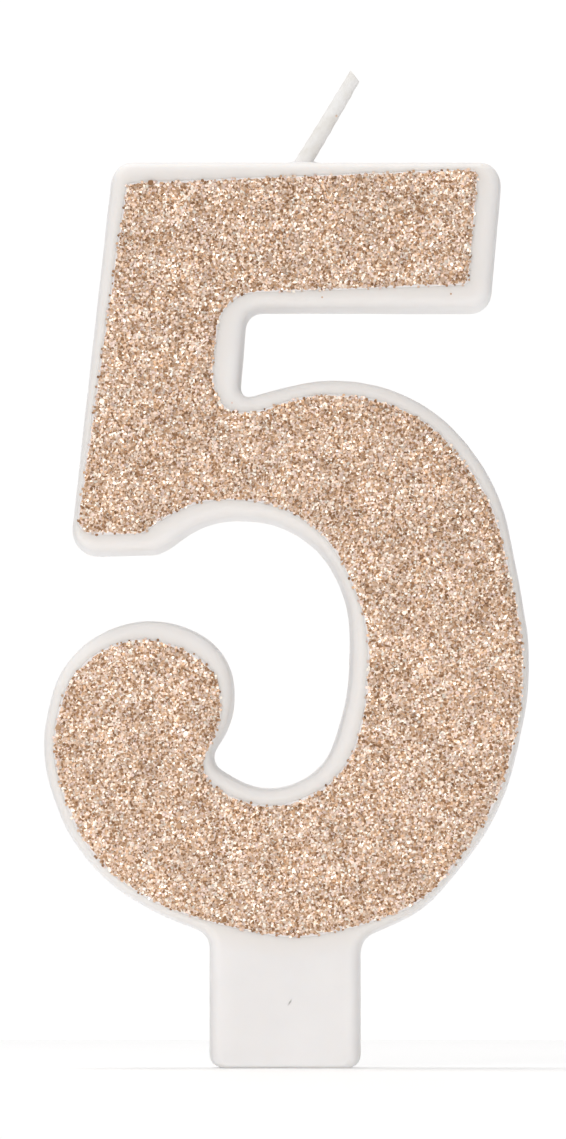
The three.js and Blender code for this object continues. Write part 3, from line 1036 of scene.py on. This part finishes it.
# ---------------------------------------------------------------- stage
def make_camera():
    """A long lens a little below the level, looking at the casting's widest outline."""
    target = Vector((
        (wax_low.x + wax_high.x) / 2 + VIEW_SIDE_OFFSET,
        wax_high.y,
        (cad_low.z + cad_high.z) / 2,
    ))
    data = bpy.data.cameras.new("camera")
    data.sensor_width = SENSOR
    data.lens = SENSOR * CAMERA_DISTANCE / VIEW_HEIGHT
    data.clip_end = 20.0
    camera = bpy.data.objects.new("camera", data)
    backward = Vector((
        math.sin(CAMERA_AZIMUTH) * math.cos(CAMERA_ELEVATION),
        -math.cos(CAMERA_AZIMUTH) * math.cos(CAMERA_ELEVATION),
        math.sin(CAMERA_ELEVATION),
    ))
    camera.location = target + backward * CAMERA_DISTANCE
    camera.rotation_mode = "QUATERNION"
    camera.rotation_quaternion = (-backward).to_track_quat("-Z", "Y")
    bpy.context.scene.collection.objects.link(camera)
    bpy.context.scene.camera = camera


def soft_light(name, location, size, power, aim):
    """A round soft box aimed at a place."""
    data = bpy.data.lights.new(name, "AREA")
    data.shape = "DISK"
    data.size = size
    data.energy = power
    light = bpy.data.objects.new(name, data)
    light.location = location
    light.rotation_mode = "QUATERNION"
    light.rotation_quaternion = (Vector(aim) - Vector(location)).to_track_quat("-Z", "Y")
    bpy.context.scene.collection.objects.link(light)


def make_world():
    """A pale even room with a lit white backdrop behind the object."""
    world = bpy.data.worlds.new("studio")
    world.use_nodes = True
    tree = world.node_tree
    direction = tree.nodes.new("ShaderNodeTexCoord")
    parts = tree.nodes.new("ShaderNodeSeparateXYZ")
    tree.links.new(direction.outputs["Generated"], parts.inputs["Vector"])
    room = tree.nodes.new("ShaderNodeMapRange")
    room.inputs["From Min"].default_value = -1.0
    room.inputs["To Min"].default_value, room.inputs["To Max"].default_value = ROOM_LIGHT
    tree.links.new(parts.outputs["X"], room.inputs["Value"])
    light = tree.nodes.new("ShaderNodeMapRange")
    light.interpolation_type = "SMOOTHSTEP"
    light.inputs["From Min"].default_value = BACKDROP_FROM
    light.inputs["From Max"].default_value = BACKDROP_FULL
    light.inputs["To Max"].default_value = BACKDROP_LIGHT
    tree.links.new(room.outputs["Result"], light.inputs["To Min"])
    tree.links.new(parts.outputs["Y"], light.inputs["Value"])
    tree.links.new(light.outputs["Result"], tree.nodes["Background"].inputs["Strength"])
    tree.nodes["Background"].inputs["Color"].default_value = (*ROOM_COLOUR, 1.0)
    bpy.context.scene.world = world


def make_studio():
    """The soft boxes, the room and the plain view transform."""
    middle = (cad_low + cad_high) / 2
    for name, (place, size, power) in SOFT_BOXES.items():
        soft_light(name, place, size, power, middle)
    make_world()
    bpy.context.scene.view_settings.view_transform = "Standard"


def make_floor():
    """A round pale table top; past its rim the white backdrop begins."""
    material, _, _ = principled(
        "pale_floor", FLOOR_COLOUR, FLOOR_ROUGHNESS, Emission_Strength=FLOOR_GLOW
    )
    turns = np.linspace(0, 2 * math.pi, FLOOR_SIDES, endpoint=False)
    heights = np.full(FLOOR_SIDES, cad_low.z)
    rim = np.stack((FLOOR_RADIUS * np.cos(turns), FLOOR_RADIUS * np.sin(turns), heights), axis=1)
    floor = make_piece("floor", rim, [list(range(FLOOR_SIDES))], material)


# ---------------------------------------------------------------- assembly
make_camera()
make_studio()
make_floor()
tint_materials = [flake_material(name) for name in TINTS]

casting = cast_wax(wax_material())
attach(casting, ROOT)
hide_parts("wax_body")

film = spread_glue(glue_material())
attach(film, ROOT)
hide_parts("adhesive_film")

flake_outline = glitter_outline(FLAKE_STEP)
bed = glitter_bed(flake_outline, tint_materials)
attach(bed, ROOT)
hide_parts("glitter_layer")
for flakes in loose_flakes(flake_outline, casting, tint_materials):
    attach(flakes, ROOT)

cotton = cotton_material()
for strand_number in range(STRANDS):
    strand = wick_strand(strand_number, cotton)
    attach(strand, ROOT)
    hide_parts(f"wick_strand_{strand_number + 1}")

skin = wick_coat(wick_wax_material())
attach(skin, ROOT)
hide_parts("wick_wax_coat")
